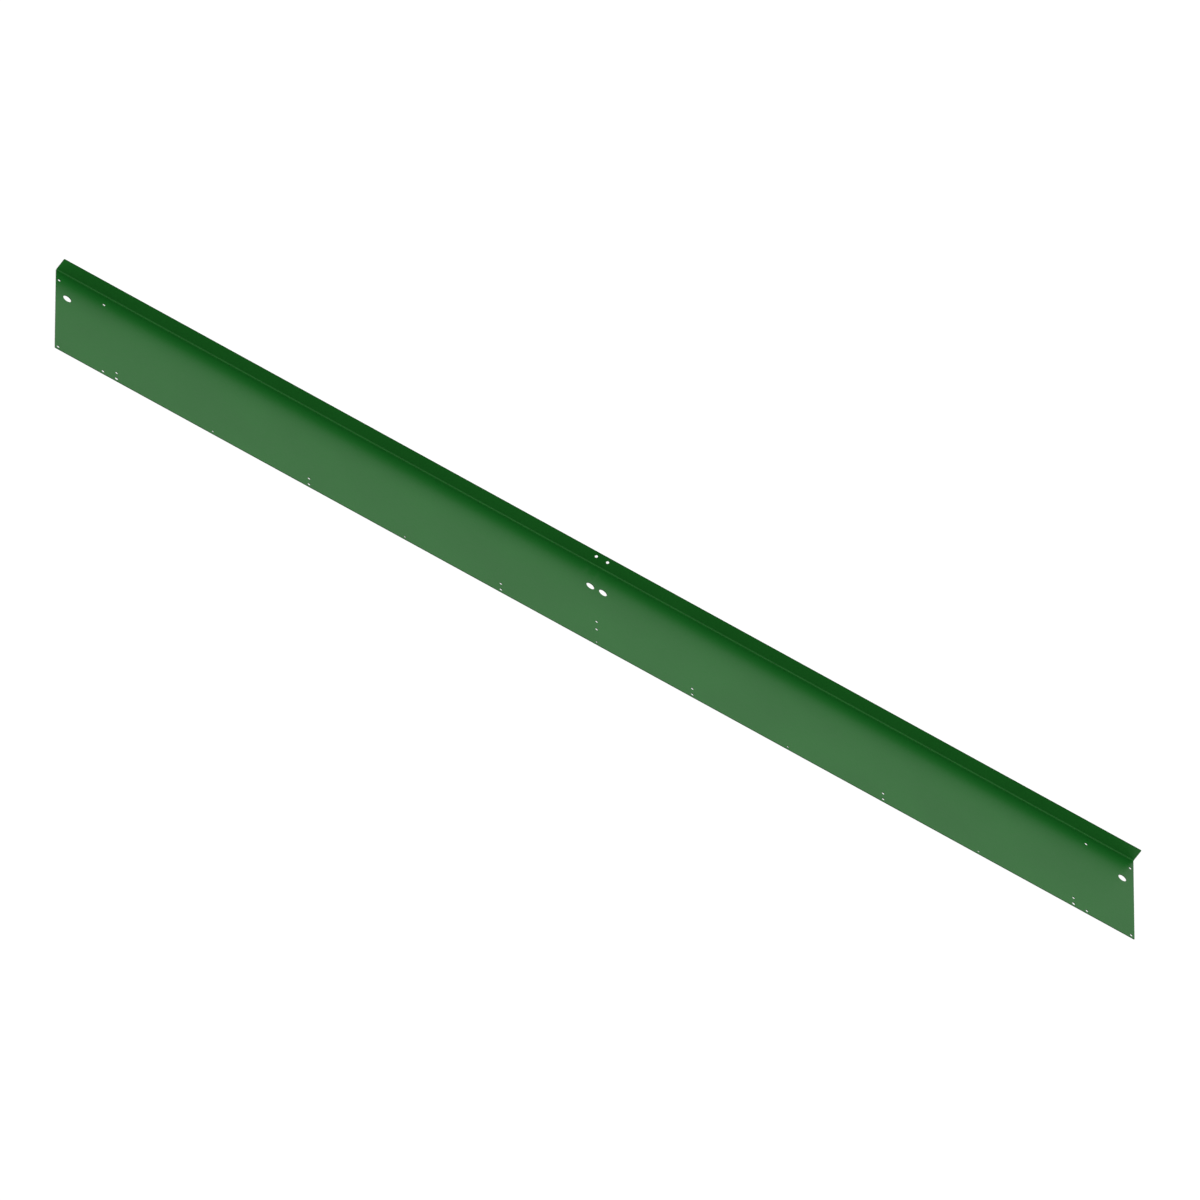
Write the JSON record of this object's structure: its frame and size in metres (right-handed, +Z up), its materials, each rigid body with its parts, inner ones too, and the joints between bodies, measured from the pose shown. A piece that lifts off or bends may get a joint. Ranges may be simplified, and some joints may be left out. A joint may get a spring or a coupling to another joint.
{
  "type": "folded slide side panel",
  "caption": "Long folded sheet-metal side panel for a playground slide, with one narrow flange, fixing holes along its edges and larger round holes at its ends and middle.",
  "frame": {"origin": "middle of the length and of the width, at the level of the panel's outer face, on which it lies", "axes": "+X along the panel, +Y from the free edge to the fold, +Z up the flange, away from the outer face"},
  "size_m": [2.82, 0.31, 0.034],
  "materials": {
    "green_powder_coat": "satin powder coat on both faces and in the holes"
  },
  "bodies": {
    "root": {"side_panel": "green_powder_coat"}
  },
  "joints": []
}
